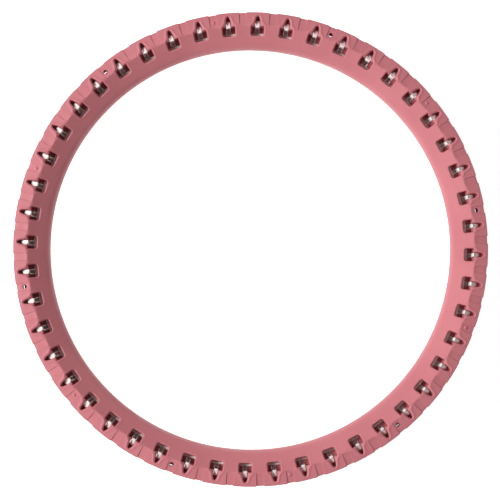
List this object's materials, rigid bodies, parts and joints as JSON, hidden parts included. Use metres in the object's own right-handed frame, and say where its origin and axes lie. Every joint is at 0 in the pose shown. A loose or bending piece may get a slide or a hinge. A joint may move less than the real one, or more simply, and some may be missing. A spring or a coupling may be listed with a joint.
{
  "type": "circular knitting machine needle ring",
  "caption": "Wide ring with T-shaped slots round its rim, each guiding a white sliding latch needle in a grooved cylinder over a toothed drive ring.",
  "frame": {"origin": "centre of the ring on the plane it stands on (bottom of the drive gear)", "axes": "+Z is the ring's axis and the needles' rising direction; the first slot and needle_01 lie on +X, and the others follow anticlockwise"},
  "size_m": [0.3, 0.3, 0.08],
  "materials": {
    "rose_abs": "satin moulded",
    "white_abs": "satin moulded",
    "grey_pom": "natural moulded",
    "rest_rubber": "matt",
    "spring_wire": "drawn wire",
    "screw_steel": "zinc plated",
    "dowel_steel": "ground",
    "white_pom": "satin moulded"
  },
  "bodies": {
    "ring": {"crown_ring": "rose_abs", "needle_cylinder": "white_abs", "drive_gear": "grey_pom", "needle_rest_ring": "rest_rubber", "upper_spring_band": "spring_wire", "lower_spring_band": "spring_wire", "crown_screws": "screw_steel", "gear_screws": "screw_steel", "dowel_pins": "dowel_steel", "counter_trip": "rose_abs"},
    "needle_01": {"needle_01": "white_pom"},
    "needle_02": {"needle_02": "white_pom"},
    "needle_03": {"needle_03": "white_pom"},
    "needle_04": {"needle_04": "white_pom"},
    "needle_05": {"needle_05": "white_pom"},
    "needle_06": {"needle_06": "white_pom"},
    "needle_07": {"needle_07": "white_pom"},
    "needle_08": {"needle_08": "white_pom"},
    "needle_09": {"needle_09": "white_pom"},
    "needle_10": {"needle_10": "white_pom"},
    "needle_11": {"needle_11": "white_pom"},
    "needle_12": {"needle_12": "white_pom"},
    "needle_13": {"needle_13": "white_pom"},
    "needle_14": {"needle_14": "white_pom"},
    "needle_15": {"needle_15": "white_pom"},
    "needle_16": {"needle_16": "white_pom"},
    "needle_17": {"needle_17": "white_pom"},
    "needle_18": {"needle_18": "white_pom"},
    "needle_19": {"needle_19": "white_pom"},
    "needle_20": {"needle_20": "white_pom"},
    "needle_21": {"needle_21": "white_pom"},
    "needle_22": {"needle_22": "white_pom"},
    "needle_23": {"needle_23": "white_pom"},
    "needle_24": {"needle_24": "white_pom"},
    "needle_25": {"needle_25": "white_pom"},
    "needle_26": {"needle_26": "white_pom"},
    "needle_27": {"needle_27": "white_pom"},
    "needle_28": {"needle_28": "white_pom"},
    "needle_29": {"needle_29": "white_pom"},
    "needle_30": {"needle_30": "white_pom"},
    "needle_31": {"needle_31": "white_pom"},
    "needle_32": {"needle_32": "white_pom"},
    "needle_33": {"needle_33": "white_pom"},
    "needle_34": {"needle_34": "white_pom"},
    "needle_35": {"needle_35": "white_pom"},
    "needle_36": {"needle_36": "white_pom"},
    "needle_37": {"needle_37": "white_pom"},
    "needle_38": {"needle_38": "white_pom"},
    "needle_39": {"needle_39": "white_pom"},
    "needle_40": {"needle_40": "white_pom"},
    "needle_41": {"needle_41": "white_pom"},
    "needle_42": {"needle_42": "white_pom"},
    "needle_43": {"needle_43": "white_pom"},
    "needle_44": {"needle_44": "white_pom"},
    "needle_45": {"needle_45": "white_pom"},
    "needle_46": {"needle_46": "white_pom"},
    "needle_47": {"needle_47": "white_pom"},
    "needle_48": {"needle_48": "white_pom"}
  },
  "joints": [
    {"name": "needle_01_slide", "type": "slide", "parent": "ring", "child": "needle_01", "axis": [0, 0, 1], "range_m": [0, 0.024]},
    {"name": "needle_02_slide", "type": "slide", "parent": "ring", "child": "needle_02", "axis": [0, 0, 1], "range_m": [0, 0.024]},
    {"name": "needle_03_slide", "type": "slide", "parent": "ring", "child": "needle_03", "axis": [0, 0, 1], "range_m": [0, 0.024]},
    {"name": "needle_04_slide", "type": "slide", "parent": "ring", "child": "needle_04", "axis": [0, 0, 1], "range_m": [0, 0.024]},
    {"name": "needle_05_slide", "type": "slide", "parent": "ring", "child": "needle_05", "axis": [0, 0, 1], "range_m": [0, 0.024]},
    {"name": "needle_06_slide", "type": "slide", "parent": "ring", "child": "needle_06", "axis": [0, 0, 1], "range_m": [0, 0.024]},
    {"name": "needle_07_slide", "type": "slide", "parent": "ring", "child": "needle_07", "axis": [0, 0, 1], "range_m": [0, 0.024]},
    {"name": "needle_08_slide", "type": "slide", "parent": "ring", "child": "needle_08", "axis": [0, 0, 1], "range_m": [0, 0.024]},
    {"name": "needle_09_slide", "type": "slide", "parent": "ring", "child": "needle_09", "axis": [0, 0, 1], "range_m": [0, 0.024]},
    {"name": "needle_10_slide", "type": "slide", "parent": "ring", "child": "needle_10", "axis": [0, 0, 1], "range_m": [0, 0.024]},
    {"name": "needle_11_slide", "type": "slide", "parent": "ring", "child": "needle_11", "axis": [0, 0, 1], "range_m": [0, 0.024]},
    {"name": "needle_12_slide", "type": "slide", "parent": "ring", "child": "needle_12", "axis": [0, 0, 1], "range_m": [0, 0.024]},
    {"name": "needle_13_slide", "type": "slide", "parent": "ring", "child": "needle_13", "axis": [0, 0, 1], "range_m": [0, 0.024]},
    {"name": "needle_14_slide", "type": "slide", "parent": "ring", "child": "needle_14", "axis": [0, 0, 1], "range_m": [0, 0.024]},
    {"name": "needle_15_slide", "type": "slide", "parent": "ring", "child": "needle_15", "axis": [0, 0, 1], "range_m": [0, 0.024]},
    {"name": "needle_16_slide", "type": "slide", "parent": "ring", "child": "needle_16", "axis": [0, 0, 1], "range_m": [0, 0.024]},
    {"name": "needle_17_slide", "type": "slide", "parent": "ring", "child": "needle_17", "axis": [0, 0, 1], "range_m": [0, 0.024]},
    {"name": "needle_18_slide", "type": "slide", "parent": "ring", "child": "needle_18", "axis": [0, 0, 1], "range_m": [0, 0.024]},
    {"name": "needle_19_slide", "type": "slide", "parent": "ring", "child": "needle_19", "axis": [0, 0, 1], "range_m": [0, 0.024]},
    {"name": "needle_20_slide", "type": "slide", "parent": "ring", "child": "needle_20", "axis": [0, 0, 1], "range_m": [0, 0.024]},
    {"name": "needle_21_slide", "type": "slide", "parent": "ring", "child": "needle_21", "axis": [0, 0, 1], "range_m": [0, 0.024]},
    {"name": "needle_22_slide", "type": "slide", "parent": "ring", "child": "needle_22", "axis": [0, 0, 1], "range_m": [0, 0.024]},
    {"name": "needle_23_slide", "type": "slide", "parent": "ring", "child": "needle_23", "axis": [0, 0, 1], "range_m": [0, 0.024]},
    {"name": "needle_24_slide", "type": "slide", "parent": "ring", "child": "needle_24", "axis": [0, 0, 1], "range_m": [0, 0.024]},
    {"name": "needle_25_slide", "type": "slide", "parent": "ring", "child": "needle_25", "axis": [0, 0, 1], "range_m": [0, 0.024]},
    {"name": "needle_26_slide", "type": "slide", "parent": "ring", "child": "needle_26", "axis": [0, 0, 1], "range_m": [0, 0.024]},
    {"name": "needle_27_slide", "type": "slide", "parent": "ring", "child": "needle_27", "axis": [0, 0, 1], "range_m": [0, 0.024]},
    {"name": "needle_28_slide", "type": "slide", "parent": "ring", "child": "needle_28", "axis": [0, 0, 1], "range_m": [0, 0.024]},
    {"name": "needle_29_slide", "type": "slide", "parent": "ring", "child": "needle_29", "axis": [0, 0, 1], "range_m": [0, 0.024]},
    {"name": "needle_30_slide", "type": "slide", "parent": "ring", "child": "needle_30", "axis": [0, 0, 1], "range_m": [0, 0.024]},
    {"name": "needle_31_slide", "type": "slide", "parent": "ring", "child": "needle_31", "axis": [0, 0, 1], "range_m": [0, 0.024]},
    {"name": "needle_32_slide", "type": "slide", "parent": "ring", "child": "needle_32", "axis": [0, 0, 1], "range_m": [0, 0.024]},
    {"name": "needle_33_slide", "type": "slide", "parent": "ring", "child": "needle_33", "axis": [0, 0, 1], "range_m": [0, 0.024]},
    {"name": "needle_34_slide", "type": "slide", "parent": "ring", "child": "needle_34", "axis": [0, 0, 1], "range_m": [0, 0.024]},
    {"name": "needle_35_slide", "type": "slide", "parent": "ring", "child": "needle_35", "axis": [0, 0, 1], "range_m": [0, 0.024]},
    {"name": "needle_36_slide", "type": "slide", "parent": "ring", "child": "needle_36", "axis": [0, 0, 1], "range_m": [0, 0.024]},
    {"name": "needle_37_slide", "type": "slide", "parent": "ring", "child": "needle_37", "axis": [0, 0, 1], "range_m": [0, 0.024]},
    {"name": "needle_38_slide", "type": "slide", "parent": "ring", "child": "needle_38", "axis": [0, 0, 1], "range_m": [0, 0.024]},
    {"name": "needle_39_slide", "type": "slide", "parent": "ring", "child": "needle_39", "axis": [0, 0, 1], "range_m": [0, 0.024]},
    {"name": "needle_40_slide", "type": "slide", "parent": "ring", "child": "needle_40", "axis": [0, 0, 1], "range_m": [0, 0.024]},
    {"name": "needle_41_slide", "type": "slide", "parent": "ring", "child": "needle_41", "axis": [0, 0, 1], "range_m": [0, 0.024]},
    {"name": "needle_42_slide", "type": "slide", "parent": "ring", "child": "needle_42", "axis": [0, 0, 1], "range_m": [0, 0.024]},
    {"name": "needle_43_slide", "type": "slide", "parent": "ring", "child": "needle_43", "axis": [0, 0, 1], "range_m": [0, 0.024]},
    {"name": "needle_44_slide", "type": "slide", "parent": "ring", "child": "needle_44", "axis": [0, 0, 1], "range_m": [0, 0.024]},
    {"name": "needle_45_slide", "type": "slide", "parent": "ring", "child": "needle_45", "axis": [0, 0, 1], "range_m": [0, 0.024]},
    {"name": "needle_46_slide", "type": "slide", "parent": "ring", "child": "needle_46", "axis": [0, 0, 1], "range_m": [0, 0.024]},
    {"name": "needle_47_slide", "type": "slide", "parent": "ring", "child": "needle_47", "axis": [0, 0, 1], "range_m": [0, 0.024]},
    {"name": "needle_48_slide", "type": "slide", "parent": "ring", "child": "needle_48", "axis": [0, 0, 1], "range_m": [0, 0.024]}
  ]
}
